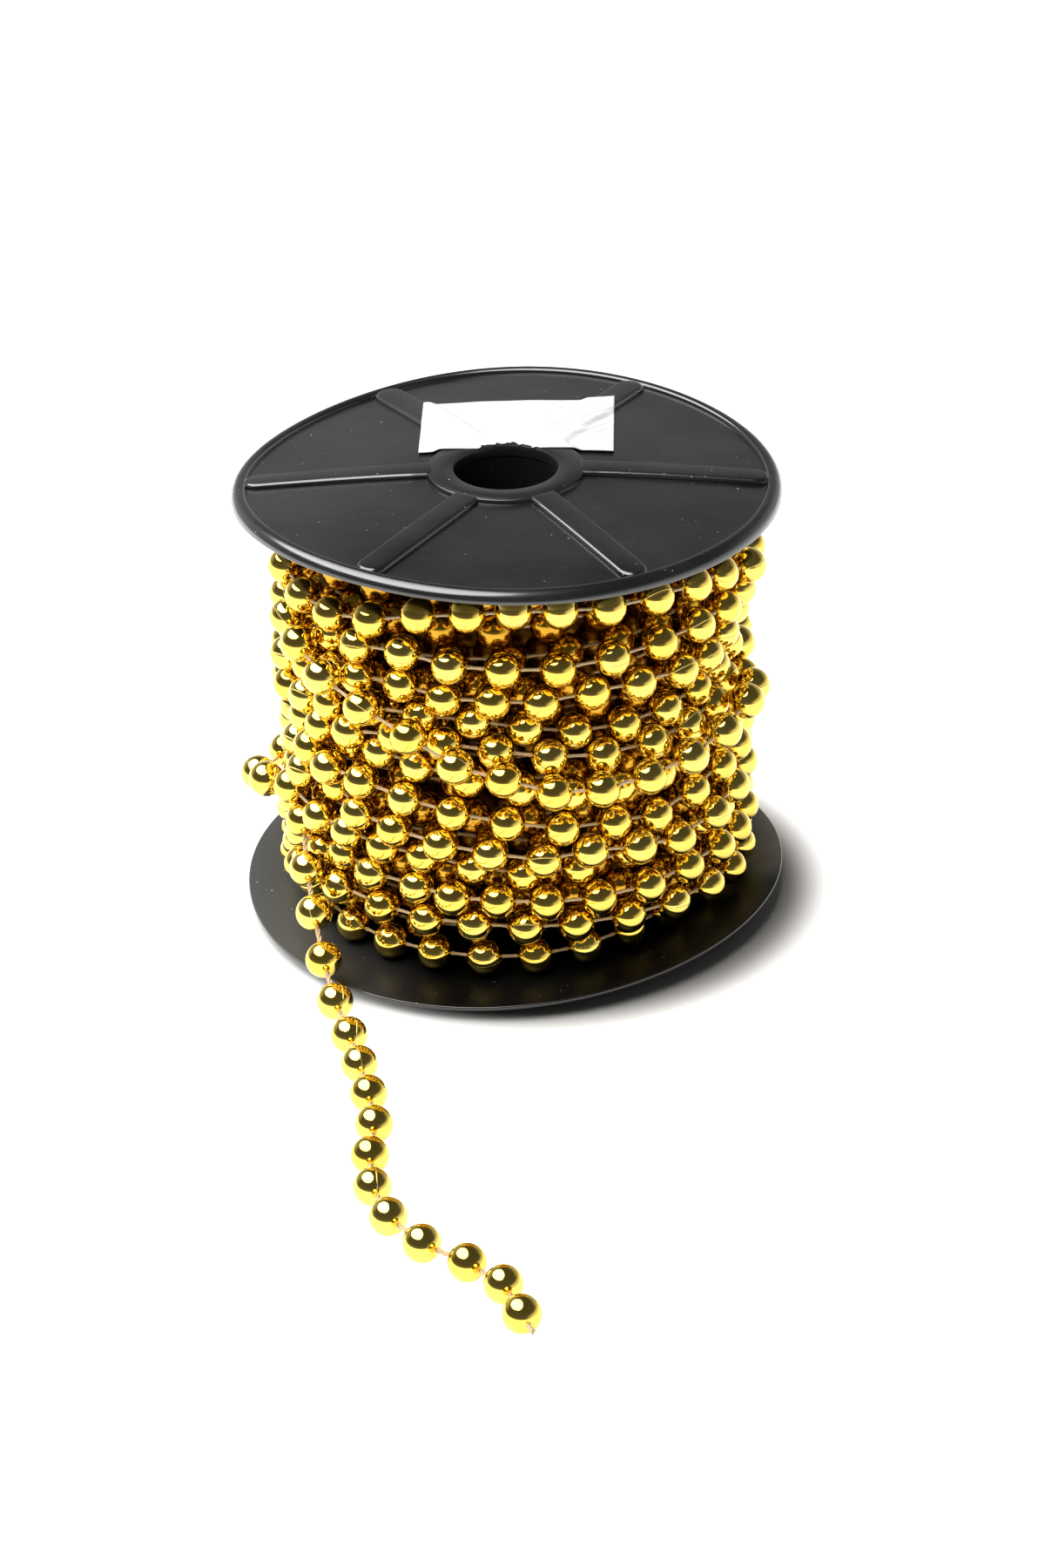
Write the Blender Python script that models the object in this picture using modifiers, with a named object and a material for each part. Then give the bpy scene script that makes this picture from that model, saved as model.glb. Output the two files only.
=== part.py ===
# A string of beads wound on a moulded plastic spool, with its end lying loose.
# Metres, +Z up. The origin is on the spool's axis, on the surface it stands on.
# Angles are in degrees about the axis, counted from +X toward +Y; the viewer looks along +Y.

import math

import bmesh
import bpy
from mathutils import Matrix, Vector

MM = 0.001

# Spool
SPOOL_HEIGHT = 76.6 * MM
FLANGE_RADIUS = 45.0 * MM
PLATE_THICKNESS = 1.1 * MM
RAISED_STEP = 0.8 * MM
FLANGE_THICKNESS = PLATE_THICKNESS + RAISED_STEP
BORE_RADIUS = 8.4 * MM
HUB_RING_RADIUS = 12.9 * MM
RIM_BAND_WIDTH = 2.6 * MM
RIM_ROUNDING = 1.1 * MM
STEP_SLOPE = 0.4 * MM
EDGE_BREAK = 0.2 * MM
CORE_RADIUS = 10.2 * MM
CORE_STEPS = 48
RIB_COUNT = 6
RIB_WIDTH = 5.0 * MM
RIB_TURN = -1.5
RIB_FOOT = 0.03 * MM
RIB_OVERLAP = 1.5 * MM
RIB_END_GAP = 0.4 * MM
FLANGE_STEPS = 72

# How far the thin flanges have sagged or lifted at the rim
TOP_SAG = 1.7 * MM
TOP_LOW_RIGHT = 0.3 * MM
TOP_LOW_BACK = 0.5 * MM
TOP_SADDLE = 0.75 * MM
TOP_SADDLE_TURNED = 0.49 * MM
TOP_RIPPLE = 0.5 * MM
LIFT_FRONT_RIGHT = 3.0 * MM
FRONT_RIGHT_ANGLE = -22.0
FRONT_RIGHT_POWER = 3
LIFT_BACK_LEFT = 1.6 * MM
BACK_LEFT_ANGLE = 150.0
BACK_LEFT_POWER = 5
DISH_POWER = 1.3

# Clearance kept between touching pieces
GAP = 0.3 * MM

# Bead string: outer diameter of the beads, and the rows it is wound in
BEAD = 6.0 * MM
ROWS = 11
ROW_SHARES = 4
WOUND_RADIUS = 38.2 * MM
RIDGE = 1.0 * MM
SWELL = 0.5 * MM
SHOULDER_DROP = 1.4 * MM
WINDING_STEPS = 80
END_RINGS = 4

# The strand that crosses the outer rows on a slant: where it lies round the winding
CROSSING = (
    {"angle": 196.0, "height": 64.5 * MM},
    {"angle": 217.0, "height": 57.5 * MM},
    {"angle": 247.0, "height": 47.0 * MM},
    {"angle": 268.0, "height": 41.5 * MM},
    {"angle": 290.0, "height": 37.8 * MM},
    {"angle": 313.0, "height": 38.6 * MM},
    {"angle": 338.0, "height": 44.5 * MM},
)
CROSSING_RISE = 4.2 * MM
CROSSING_HALF_WIDTH = 3.6 * MM
CROSSING_FADE = 14.0

# The turn that bulges out of the winding on the left
BULGE_ANGLE = 186.0
BULGE_SPREAD = 13.0
BULGE_HEIGHT = 27.5 * MM
BULGE_HALF_WIDTH = 3.3 * MM
BULGE_RISE = 5.4 * MM

# The hollow in the rows where the loose end leaves them
HOLLOW_ANGLE = 208.0
HOLLOW_SPREAD = 13.0
HOLLOW_HEIGHT = 15.0 * MM
HOLLOW_HALF_WIDTH = 6.0 * MM
HOLLOW_DEPTH = 2.4 * MM

# Paper label
LABEL_WIDTH = 32.0 * MM
LABEL_DEPTH = 21.3 * MM
LABEL_CENTRE = (2.1 * MM, 17.7 * MM)
LABEL_TURN = -2.0
LABEL_THICKNESS = 0.3 * MM
LABEL_CELLS = (16, 10)
LABEL_HOLE_MARGIN = 0.5 * MM
LABEL_HOLE_STEPS = 64
LABEL_SLOPE = 1.6 * MM
LABEL_SINK = 0.7 * RAISED_STEP

# Route of the loose end, through the middle of its beads, from the winding to the cut end
ROUTE = (
    (-38.3, -15.8, 18.2),
    (-35.6, -22.6, 16.4),
    (-33.9, -29.2, 11.4),
    (-32.0, -36.6, 6.6),
    (-29.9, -45.6, 3.9),
    (-27.3, -55.3, 3.05),
    (-25.3, -64.4, 3.05),
    (-23.6, -73.3, 3.05),
    (-22.9, -81.9, 3.05),
    (-23.4, -90.6, 3.05),
    (-22.9, -99.4, 3.05),
    (-20.4, -107.6, 3.05),
    (-15.3, -115.0, 3.05),
    (-9.0, -120.4, 3.05),
    (-3.5, -125.9, 3.05),
    (0.6, -133.4, 3.05),
)
POINTS_PER_LEG = 4


def clear_scene():
    for item in list(bpy.data.objects):
        bpy.data.objects.remove(item, do_unlink=True)


def make_collection(name):
    collection = bpy.data.collections.new(name)
    bpy.context.scene.collection.children.link(collection)
    return collection


def make_material(name, colour, roughness, metallic=0.0):
    material = bpy.data.materials.new(name)
    material.use_nodes = True
    shader = material.node_tree.nodes["Principled BSDF"]
    shader.inputs["Base Color"].default_value = (*colour, 1.0)
    shader.inputs["Roughness"].default_value = roughness
    shader.inputs["Metallic"].default_value = metallic
    return material


def add_object(name, data, collection, material=None):
    item = bpy.data.objects.new(name, data)
    collection.objects.link(item)
    if material is not None:
        data.materials.append(material)
    return item


def bake(item):
    """Replace an object's data by the mesh that its modifiers give."""
    graph = bpy.context.evaluated_depsgraph_get()
    mesh = bpy.data.meshes.new_from_object(item.evaluated_get(graph))
    item.modifiers.clear()
    item.data = mesh


def smooth_shade(mesh):
    for face in mesh.polygons:
        face.use_smooth = True


def turn_profile(name, profile, steps, collection, material):
    """Turn a closed outline of (radius, height) points about the axis."""
    mesh = bpy.data.meshes.new(name)
    corners = [(radius, 0.0, height) for radius, height in profile]
    count = len(corners)
    edges = [(i, (i + 1) % count) for i in range(count)]
    mesh.from_pydata(corners, edges, [])
    item = add_object(name, mesh, collection, material)
    screw = item.modifiers.new("Turn", "SCREW")
    screw.axis = "Z"
    screw.steps = steps
    screw.render_steps = steps
    screw.use_merge_vertices = True
    screw.merge_threshold = 0.00001
    screw.use_normal_calculate = True
    bpy.context.view_layer.update()
    bake(item)
    return item


def face_outward(item):
    """Make all faces of a closed mesh point outward."""
    shape = bmesh.new()
    shape.from_mesh(item.data)
    bmesh.ops.recalc_face_normals(shape, faces=shape.faces)
    if shape.calc_volume(signed=True) < 0.0:
        bmesh.ops.reverse_faces(shape, faces=shape.faces)
    shape.to_mesh(item.data)
    shape.free()


def spread(start, end, parts):
    """Evenly spaced values from start to end, both included."""
    return [start + (end - start) * i / parts for i in range(parts + 1)]


def bump(angle, centre, power):
    """1 at one angle round the axis, falling smoothly to 0 opposite."""
    return ((1.0 + math.cos(angle - math.radians(centre))) / 2.0) ** power


def hill(value, centre, half_width):
    """1 at the centre and about 0.37 at one half width from it."""
    return math.exp(-(((value - centre) / half_width) ** 2))


def angle_between(angle, centre):
    """Signed difference of two angles, in degrees, from -180 to 180."""
    return (math.degrees(angle) - centre + 180.0) % 360.0 - 180.0


def dish(radius):
    """0 over the hub ring, rising to 1 at the rim."""
    share = (radius - HUB_RING_RADIUS) / (FLANGE_RADIUS - HUB_RING_RADIUS)
    return max(0.0, share) ** DISH_POWER


def top_warp(radius, angle):
    """Height that the top flange has gained (here lost) at a place."""
    sag = -TOP_SAG - TOP_LOW_RIGHT * math.cos(angle) - TOP_LOW_BACK * math.sin(angle)
    saddle = TOP_SADDLE * math.sin(2.0 * angle) - TOP_SADDLE_TURNED * math.cos(2.0 * angle)
    ripple = -TOP_RIPPLE * math.sin(3.0 * angle)
    return dish(radius) * (sag + saddle + ripple)


def bottom_warp(radius, angle):
    """Height that the bottom flange has lifted off the surface at a place."""
    right = LIFT_FRONT_RIGHT * bump(angle, FRONT_RIGHT_ANGLE, FRONT_RIGHT_POWER)
    left = LIFT_BACK_LEFT * bump(angle, BACK_LEFT_ANGLE, BACK_LEFT_POWER)
    return dish(radius) * (right + left)


def move_points(item, mapping):
    """Give each point of a mesh the place that mapping(x, y, z) returns."""
    for point in item.data.vertices:
        point.co = Vector(mapping(*point.co))
    item.data.update()


def flange_profile():
    """Outline of a flange section, with the raised side at height 0."""
    band_inner = FLANGE_RADIUS - RIM_BAND_WIDTH
    outline = [(BORE_RADIUS, 0.0), (BORE_RADIUS, FLANGE_THICKNESS)]
    outline += [(r, FLANGE_THICKNESS) for r in spread(HUB_RING_RADIUS, FLANGE_RADIUS - EDGE_BREAK, 5)]
    outline.append((FLANGE_RADIUS, FLANGE_THICKNESS - EDGE_BREAK))
    for turn in (0.0, 30.0, 60.0, 90.0):
        a = math.radians(turn)
        centre = FLANGE_RADIUS - RIM_ROUNDING
        outline.append((centre + RIM_ROUNDING * math.cos(a), RIM_ROUNDING * (1.0 - math.sin(a))))
    outline.append((band_inner, 0.0))
    outline += [(r, RAISED_STEP) for r in spread(band_inner - STEP_SLOPE, HUB_RING_RADIUS + STEP_SLOPE, 5)]
    outline.append((HUB_RING_RADIUS, 0.0))
    return outline


def make_ribs(name, collection):
    """Six bars with round outer ends, from the hub ring to the rim's band."""
    shape = bmesh.new()
    inner = HUB_RING_RADIUS - RIB_OVERLAP
    outer = FLANGE_RADIUS - RIM_BAND_WIDTH - STEP_SLOPE - RIB_END_GAP
    half = RIB_WIDTH / 2.0
    high = RAISED_STEP + PLATE_THICKNESS / 2.0
    along = spread(inner, outer - half, 4)
    outline = [(x, -half) for x in along]
    outline += [
        (outer - half + half * math.cos(a), half * math.sin(a))
        for a in (math.radians(t) for t in (-60.0, -30.0, 0.0, 30.0, 60.0))
    ]
    outline += [(x, half) for x in reversed(along)]
    for i in range(RIB_COUNT):
        turn = Matrix.Rotation(math.radians(RIB_TURN + 360.0 / RIB_COUNT * i), 4, "Z")
        floor = [shape.verts.new(turn @ Vector((x, y, RIB_FOOT))) for x, y in outline]
        base = shape.faces.new(floor)
        raised = bmesh.ops.extrude_face_region(shape, geom=[base])
        moved = [part for part in raised["geom"] if isinstance(part, bmesh.types.BMVert)]
        bmesh.ops.translate(shape, verts=moved, vec=(0.0, 0.0, high - RIB_FOOT))
    bmesh.ops.recalc_face_normals(shape, faces=shape.faces)
    mesh = bpy.data.meshes.new(name)
    shape.to_mesh(mesh)
    shape.free()
    return add_object(name, mesh, collection)


def use_boolean(item, tool, operation):
    change = item.modifiers.new(operation.title(), "BOOLEAN")
    change.object = tool
    change.operation = operation
    change.solver = "EXACT"
    bpy.context.view_layer.update()
    bake(item)
    tool.hide_render = True
    tool.display_type = "WIRE"


def make_flange(name, mapping, parts, cutters, material):
    """A ribbed plate, turned, joined to its ribs and then bent to its warped shape."""
    item = turn_profile(name, flange_profile(), FLANGE_STEPS, parts, material)
    ribs = make_ribs(name + "_ribs", cutters)
    face_outward(item)
    use_boolean(item, ribs, "UNION")
    move_points(item, mapping)
    face_outward(item)
    smooth_shade(item.data)
    return item


def bottom_place(x, y, z):
    lift = bottom_warp(math.hypot(x, y), math.atan2(y, x))
    return (x, y, z + lift)


def top_place(x, y, z):
    lift = top_warp(math.hypot(x, y), math.atan2(y, x))
    return (x, y, SPOOL_HEIGHT - z + lift)


def make_core(parts, material):
    low = FLANGE_THICKNESS + GAP
    high = SPOOL_HEIGHT - FLANGE_THICKNESS - GAP
    outline = [(CORE_RADIUS, low), (CORE_RADIUS, high), (BORE_RADIUS, high), (BORE_RADIUS, low)]
    item = turn_profile("spool_core", outline, CORE_STEPS, parts, material)
    face_outward(item)
    smooth_shade(item.data)
    return item


def crossing_height(degrees):
    """Height of the slanting strand at an angle, smoothly through the table's rows."""
    rows = CROSSING
    for i in range(len(rows) - 1):
        low, high = rows[i], rows[i + 1]
        if low["angle"] <= degrees <= high["angle"]:
            before = rows[max(i - 1, 0)]["height"]
            after = rows[min(i + 2, len(rows) - 1)]["height"]
            t = (degrees - low["angle"]) / (high["angle"] - low["angle"])
            return catmull(before, low["height"], high["height"], after, t)
    return None


def catmull(a, b, c, d, t):
    """Catmull-Rom value between b and c; works on numbers and on vectors."""
    return 0.5 * (b * 2.0 + (c - a) * t + (a * 2.0 - b * 5.0 + c * 4.0 - d) * t * t
                  + (b * 3.0 - a - c * 3.0 + d) * t * t * t)


def wound_surface(angle, height, share):
    """Radius of the winding's outer surface; share runs from 0 at the bottom to 1 at the top."""
    wander = (0.22 * math.sin(angle + 1.0) + 0.12 * math.sin(3.0 * angle)) * math.sin(math.pi * share)
    ridge = RIDGE * (0.5 - 0.5 * math.cos(2.0 * math.pi * (share * ROWS + wander)))
    swell = SWELL * math.sin(2.0 * angle + 5.0 * share) - SHOULDER_DROP * (2.0 * share - 1.0) ** 4
    radius = WOUND_RADIUS + ridge + swell
    degrees = math.degrees(angle) % 360.0
    crossing = crossing_height(degrees)
    if crossing is not None:
        ends = min(degrees - CROSSING[0]["angle"], CROSSING[-1]["angle"] - degrees)
        fade = min(1.0, ends / CROSSING_FADE)
        radius += CROSSING_RISE * fade * hill(height, crossing, CROSSING_HALF_WIDTH)
    side = hill(angle_between(angle, BULGE_ANGLE), 0.0, BULGE_SPREAD)
    radius += BULGE_RISE * side * hill(height, BULGE_HEIGHT, BULGE_HALF_WIDTH)
    side = hill(angle_between(angle, HOLLOW_ANGLE), 0.0, HOLLOW_SPREAD)
    radius -= HOLLOW_DEPTH * side * hill(height, HOLLOW_HEIGHT, HOLLOW_HALF_WIDTH)
    return radius


def wound_place(x, y, z):
    """Place of a point of the unit ring, whose radius and height both run from 0 to 1."""
    share_out = math.hypot(x, y) - 1.0
    angle = math.atan2(y, x)
    inner = CORE_RADIUS + GAP
    low = FLANGE_THICKNESS + GAP
    high = SPOOL_HEIGHT - FLANGE_THICKNESS - GAP
    guess = low + (high - low) * z
    radius = inner + (wound_surface(angle, guess, z) - inner) * share_out
    bottom = low + bottom_warp(radius, angle)
    top = high + top_warp(radius, angle)
    return (radius * math.cos(angle), radius * math.sin(angle), bottom + (top - bottom) * z)


def make_winding(parts, material):
    """A ring with ridged rows, turned as a plain section and then given its wound surface."""
    outline = [(1.0 + s, 0.0) for s in spread(0.0, 1.0, END_RINGS)[:-1]]
    outline += [(2.0, s) for s in spread(0.0, 1.0, ROWS * ROW_SHARES)]
    outline += [(1.0 + s, 1.0) for s in reversed(spread(0.0, 1.0, END_RINGS)[:-1])]
    item = turn_profile("bead_winding", outline, WINDING_STEPS, parts, material)
    move_points(item, wound_place)
    face_outward(item)
    smooth_shade(item.data)
    return item


def rib_distance(x, y):
    """Sideways distance from a place to the middle line of the nearest rib."""
    radius = math.hypot(x, y)
    step = 360.0 / RIB_COUNT
    turn = (math.degrees(math.atan2(y, x)) - RIB_TURN + step / 2.0) % step - step / 2.0
    return abs(radius * math.sin(math.radians(turn)))


def label_place(x, y, z):
    """Lay a point of the flat label on the flange: up over the ribs and ring, down on the panels."""
    radius = math.hypot(x, y)
    off_rib = (rib_distance(x, y) - RIB_WIDTH / 2.0) / LABEL_SLOPE
    off_ring = (radius - HUB_RING_RADIUS) / LABEL_SLOPE
    down = max(0.0, min(1.0, off_rib)) * max(0.0, min(1.0, off_ring))
    down = LABEL_SINK * down * down * (3.0 - 2.0 * down)
    return (x, y, SPOOL_HEIGHT + GAP + z - down + top_warp(radius, math.atan2(y, x)))


def make_label(parts, cutters, material):
    """A thin sheet, cut by the hole, then laid over the flange's relief."""
    shape = bmesh.new()
    bmesh.ops.create_grid(shape, x_segments=LABEL_CELLS[0], y_segments=LABEL_CELLS[1], size=0.5)
    bmesh.ops.scale(shape, vec=(LABEL_WIDTH, LABEL_DEPTH, 1.0), verts=shape.verts)
    mesh = bpy.data.meshes.new("label")
    shape.to_mesh(mesh)
    shape.free()
    item = add_object("label", mesh, parts, material)
    sheet = item.modifiers.new("Sheet", "SOLIDIFY")
    sheet.thickness = LABEL_THICKNESS
    sheet.offset = 1.0
    bpy.context.view_layer.update()
    bake(item)
    turn = Matrix.Rotation(math.radians(LABEL_TURN), 4, "Z")
    item.data.transform(Matrix.Translation((*LABEL_CENTRE, 0.0)) @ turn)
    bpy.ops.mesh.primitive_cylinder_add(
        vertices=LABEL_HOLE_STEPS, radius=BORE_RADIUS + LABEL_HOLE_MARGIN, depth=10.0 * LABEL_THICKNESS
    )
    cutter = bpy.context.active_object
    cutter.name = "label_hole"
    for owner in list(cutter.users_collection):
        owner.objects.unlink(cutter)
    cutters.objects.link(cutter)
    use_boolean(item, cutter, "DIFFERENCE")
    move_points(item, label_place)
    face_outward(item)
    return item


def smooth_route(points, parts_per_leg):
    """Points of a smooth curve through the route's own points."""
    places = [Vector(p) * MM for p in points]
    places = [places[0] * 2.0 - places[1]] + places + [places[-1] * 2.0 - places[-2]]
    curve = []
    for i in range(1, len(places) - 2):
        for k in range(parts_per_leg):
            curve.append(catmull(*places[i - 1:i + 3], k / parts_per_leg))
    curve.append(places[-2])
    return curve


def make_loose_end(parts, material):
    points = smooth_route(ROUTE, POINTS_PER_LEG)
    data = bpy.data.curves.new("loose_end", "CURVE")
    data.dimensions = "3D"
    data.bevel_depth = BEAD / 2.0
    data.bevel_resolution = 2
    data.use_fill_caps = True
    line = data.splines.new("POLY")
    line.points.add(len(points) - 1)
    for place, point in zip(line.points, points):
        place.co = (*point, 1.0)
    item = add_object("loose_end", data, parts, material)
    return item


def main():
    clear_scene()
    parts = make_collection("bead string on a spool")
    cutters = make_collection("cutters")
    plastic = make_material("black plastic", (0.035, 0.036, 0.038), 0.38)
    paper = make_material("white paper", (0.86, 0.86, 0.85), 0.75)
    gold = make_material("gold beads", (0.85, 0.62, 0.16), 0.12, 1.0)
    make_flange("flange_bottom", bottom_place, parts, cutters, plastic)
    make_flange("flange_top", top_place, parts, cutters, plastic)
    make_core(parts, plastic)
    make_winding(parts, gold)
    make_label(parts, cutters, paper)
    make_loose_end(parts, gold)


main()
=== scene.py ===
# %% [markdown]
# # A string of gold beads on a black plastic spool
# The real thing is a trimming: small plastic beads on one long thread, coated like a mirror and wound on a
# thin moulded spool. The solid model has the spool, the winding as one ring and the loose end as one tube.
# This script puts every bead, link of thread, rib and paper crease in place.

# %% Load the frame
import math
from functools import partialmethod

import bmesh
import bpy
import numpy as np
from mathutils import Matrix, Vector


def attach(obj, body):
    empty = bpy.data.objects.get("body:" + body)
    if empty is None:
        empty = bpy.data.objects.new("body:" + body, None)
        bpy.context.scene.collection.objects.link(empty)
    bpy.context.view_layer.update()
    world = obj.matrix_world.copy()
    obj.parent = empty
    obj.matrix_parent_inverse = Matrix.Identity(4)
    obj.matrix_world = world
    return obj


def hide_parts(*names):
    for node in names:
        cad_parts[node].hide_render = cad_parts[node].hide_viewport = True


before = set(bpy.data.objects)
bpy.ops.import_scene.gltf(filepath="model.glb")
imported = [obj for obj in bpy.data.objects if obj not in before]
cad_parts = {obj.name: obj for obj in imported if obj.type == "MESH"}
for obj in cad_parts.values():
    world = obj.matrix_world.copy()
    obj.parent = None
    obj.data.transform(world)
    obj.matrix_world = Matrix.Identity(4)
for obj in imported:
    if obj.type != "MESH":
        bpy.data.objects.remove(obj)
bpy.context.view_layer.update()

# %% [markdown]
# ## Sizes
# All lengths are in millimetres until a mesh is made, because that is how a maker would measure them.
# They repeat the solid model's own sizes, so each piece lies where its solid does.

# %% Sizes of the spool, the beads and the thread
MM = 0.001
SPOOL_HEIGHT = 76.6
FLANGE_RADIUS = 45.0
PLATE = 1.1
RAISED = 0.8
FLANGE_THICKNESS = PLATE + RAISED
BORE_RADIUS = 8.4
RING_RADIUS = 12.9
RIM_BAND = 2.6
RIM_ROUNDING = 1.7
CORE_RADIUS = 10.2
RIB_COUNT = 6
RIB_WIDTH = 5.0
RIB_TURN = -1.5
BEAD = 6.0
PITCH = 8.7
THREAD = 0.54
PLY = 0.4
print("beads across the flange:", round(2 * FLANGE_RADIUS / BEAD, 1))

# %% [markdown]
# ## The warp of the plates
# Thin moulded flanges never stay flat. The top one has sagged like a saddle, and the bottom one has lifted
# at its right and at its back. Both warps are smooth waves that start at zero over the hub, so one formula
# can move a plate, its ribs and the paper on it together.

# %% The two warps, as heights in millimetres
def dish(radius):
    """0 over the hub, 1 at the rim."""
    share = np.clip((radius - RING_RADIUS) / (FLANGE_RADIUS - RING_RADIUS), 0.0, None)
    return share ** 1.3


def one_sided(turn, degrees):
    """1 in the given direction, 0 in the opposite one."""
    return (1.0 + np.cos(turn - math.radians(degrees))) / 2.0


def top_warp(x, y):
    turn = np.arctan2(y, x)
    wave = -1.7 - 0.3 * np.cos(turn) - 0.5 * np.sin(turn) + 0.75 * np.sin(2.0 * turn)
    wave = wave - 0.49 * np.cos(2.0 * turn) - 0.5 * np.sin(3.0 * turn)
    return dish(np.hypot(x, y)) * wave


def bottom_warp(x, y):
    turn = np.arctan2(y, x)
    right = 3.0 * one_sided(turn, -22.0) ** 3
    back = 1.6 * one_sided(turn, 150.0) ** 5
    return dish(np.hypot(x, y)) * (right + back)


sags = [round(float(top_warp(0.0, y)), 2) for y in (-FLANGE_RADIUS, FLANGE_RADIUS)]
print("rim of the top plate, front and back:", sags)

# %% [markdown]
# ## The camera
# The picture was taken about 28 degrees over the table, with a long lens, and held a little askew. A
# camera's matrix has its right, up and back directions as columns, so the small roll is easy to write down.

# %% Place the camera
LOOK_AT = Vector((1.38, 0.0, 18.1)) * MM
ELEVATION = math.radians(28.27)
ROLL = math.radians(-1.5)
DISTANCE = 0.8
FOCAL_LENGTH = 109.3
ahead = Vector((0.0, math.cos(ELEVATION), -math.sin(ELEVATION)))
across = Vector((1.0, 0.0, 0.0))
upward = Vector((0.0, math.sin(ELEVATION), math.cos(ELEVATION)))
right = across * math.cos(ROLL) + upward * math.sin(ROLL)
above = upward * math.cos(ROLL) - across * math.sin(ROLL)
place = LOOK_AT - ahead * DISTANCE
camera = bpy.data.objects.new("camera", bpy.data.cameras.new("camera"))
bpy.context.scene.collection.objects.link(camera)
camera.matrix_world = Matrix((
    (right.x, above.x, -ahead.x, place.x),
    (right.y, above.y, -ahead.y, place.y),
    (right.z, above.z, -ahead.z, place.z),
    (0.0, 0.0, 0.0, 1.0),
))
camera.data.sensor_fit = "AUTO"
camera.data.sensor_width = 36.0
camera.data.lens = FOCAL_LENGTH
camera.data.clip_start = 0.01
camera.data.clip_end = 20.0
bpy.context.scene.camera = camera
print("camera height over the table, in mm:", round(place.z * 1000))

# %% [markdown]
# ## Shader arithmetic
# A material is a graph of nodes, and long graphs are hard to read in code. One small class wraps an output
# socket, so that a sum in Python adds its Math node. Every other node comes from one method.

# %% A socket that can be used in sums
class Signal:
    """An output socket in a sum."""

    def __init__(self, graph, socket):
        self.graph = graph
        self.socket = socket

    def math(self, operation, *others):
        return self.graph.node("ShaderNodeMath", {"operation": operation}, dict(enumerate((self, *others))))

    def __rsub__(self, other):
        return self.graph.node("ShaderNodeMath", {"operation": "SUBTRACT"}, {0: other, 1: self})

    __add__ = __radd__ = partialmethod(math, "ADD")
    __sub__ = partialmethod(math, "SUBTRACT")
    __mul__ = __rmul__ = partialmethod(math, "MULTIPLY")
    __pow__ = partialmethod(math, "POWER")
    __gt__ = partialmethod(math, "GREATER_THAN")
    __lt__ = partialmethod(math, "LESS_THAN")
    __abs__ = partialmethod(math, "ABSOLUTE")


# %% A maker of nodes
class Graph:
    """A node tree that is being filled."""

    def __init__(self, tree):
        self.tree = tree

    def plug(self, node, key, value):
        if isinstance(key, str):
            found = [s for s in node.inputs if s.identifier == key]
            socket = (found or [s for s in node.inputs if s.name == key])[0]
        else:
            socket = node.inputs[key]
        if isinstance(value, Signal):
            self.tree.links.new(value.socket, socket)
        else:
            socket.default_value = value

    def node(self, kind, settings=None, inputs=None, output=0):
        made = self.tree.nodes.new(kind)
        for key, value in (settings or {}).items():
            setattr(made, key, value)
        for key, value in (inputs or {}).items():
            self.plug(made, key, value)
        if isinstance(output, int):
            return Signal(self, made.outputs[output])
        return Signal(self, next(s for s in made.outputs if output in (s.identifier, s.name)))

    def places(self, scale=1.0, stretch=(1.0, 1.0, 1.0)):
        """Positions on the object, in metres times a scale."""
        where = self.node("ShaderNodeTexCoord", output="Object")
        factors = tuple(scale * s for s in stretch)
        return self.node("ShaderNodeVectorMath", {"operation": "MULTIPLY"}, {0: where, 1: factors})

    def along(self, axis, vector=None):
        """One part of a vector, or of the position on the object."""
        vector = self.places() if vector is None else vector
        return self.node("ShaderNodeSeparateXYZ", None, {0: vector}, axis)

    def noise(self, scale, detail=2.0, stretch=(1.0, 1.0, 1.0)):
        spots = self.places(scale, stretch)
        return self.node("ShaderNodeTexNoise", None, {"Vector": spots, "Scale": 1.0, "Detail": detail})

    def smooth_step(self, value, start, end):
        """0 before start, 1 after end."""
        return self.node("ShaderNodeMapRange", {"interpolation_type": "SMOOTHSTEP"},
                         {"Value": value, "From Min": start, "From Max": end})

    def blend(self, share, first, second):
        """A colour between two others."""
        return self.node("ShaderNodeMix", {"data_type": "RGBA"},
                         {"Factor_Float": share, "A_Color": first, "B_Color": second}, "Result_Color")


# %% A finish
class Finish(Graph):
    """A material with one Principled shader."""

    def __init__(self, name, **constants):
        self.material = bpy.data.materials.new(name)
        self.material.use_nodes = True
        super().__init__(self.material.node_tree)
        self.shader = self.tree.nodes["Principled BSDF"]
        for key, value in constants.items():
            self.feed(key.replace("_", " "), value)

    def feed(self, key, value):
        self.plug(self.shader, key, value)

    def bump(self, height, distance, strength=1.0, under=None):
        inputs = {"Height": height, "Distance": distance, "Strength": strength}
        if under is not None:
            inputs["Normal"] = under
        return self.node("ShaderNodeBump", None, inputs)


print("finishes ready")

# %% [markdown]
# ## The table
# Pictures like this one are made on a white sheet and brightened until the sheet is pure white. So this
# sheet glows by itself, except in a narrow ring round the spool, set a little to the right, where the glow
# is left off: painted shade, in which the lamp's own shadow still shows.

# %% Lay the table
def mesh_object(name, points, faces, smooth=True):
    """An object from points in millimetres."""
    mesh = bpy.data.meshes.new(name)
    mesh.from_pydata((np.asarray(points, float) * MM).tolist(), [], faces)
    mesh.polygons.foreach_set("use_smooth", np.full(len(mesh.polygons), smooth))
    mesh.update()
    item = bpy.data.objects.new(name, mesh)
    bpy.context.scene.collection.objects.link(item)
    return item


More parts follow.
